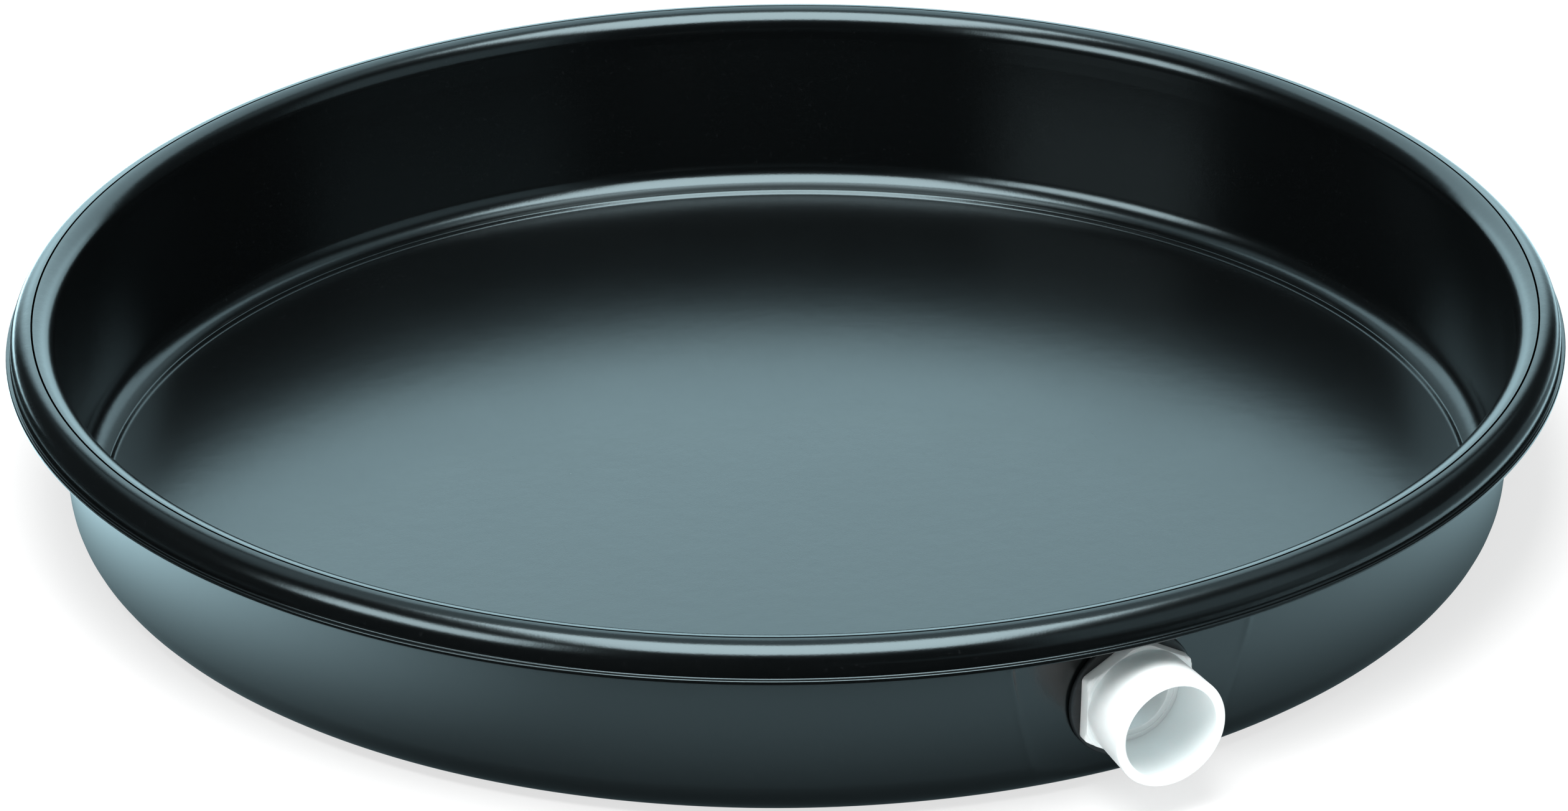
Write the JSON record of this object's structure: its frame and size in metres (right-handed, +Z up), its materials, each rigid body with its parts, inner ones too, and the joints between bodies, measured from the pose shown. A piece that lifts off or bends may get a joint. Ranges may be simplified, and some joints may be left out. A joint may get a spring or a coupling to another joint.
{
  "type": "drain pan",
  "caption": "Shallow round plastic drain pan with a rolled rim, a stepped floor and a threaded side drain adapter that takes a glued pipe.",
  "frame": {"origin": "on the pan's axis, on the flat plane its underside stands on", "axes": "+Z up along the pan's axis; the drain adapter leaves the wall towards -Y, tilted 3 degrees down"},
  "size_m": [0.5588, 0.5678, 0.0746],
  "materials": {
    "pan_plastic": "satin black moulded sheet",
    "adapter_plastic": "smooth white rigid plastic",
    "gasket_rubber": "matt black rubber",
    "nut_plastic": "smooth white rigid plastic"
  },
  "bodies": {
    "pan": {"pan": "pan_plastic"},
    "drain_adapter": {"drain_adapter": "adapter_plastic", "gasket": "gasket_rubber"},
    "lock_nut": {"lock_nut": "nut_plastic"}
  },
  "joints": [
    {"name": "adapter_turn", "type": "hinge", "parent": "pan", "child": "drain_adapter", "pos_m": [0, -0.2582, 0.034], "axis": [0, -0.9986, -0.0523], "range_deg": [0, 2160]},
    {"name": "nut_travel", "type": "slide", "parent": "pan", "child": "lock_nut", "axis": [0, 0.9986, 0.0523], "range_m": [0, 0.01345]}
  ],
  "couplings": [
    {"joint": "nut_travel", "follows": "adapter_turn", "m_per_rad": 0.00035152}
  ]
}
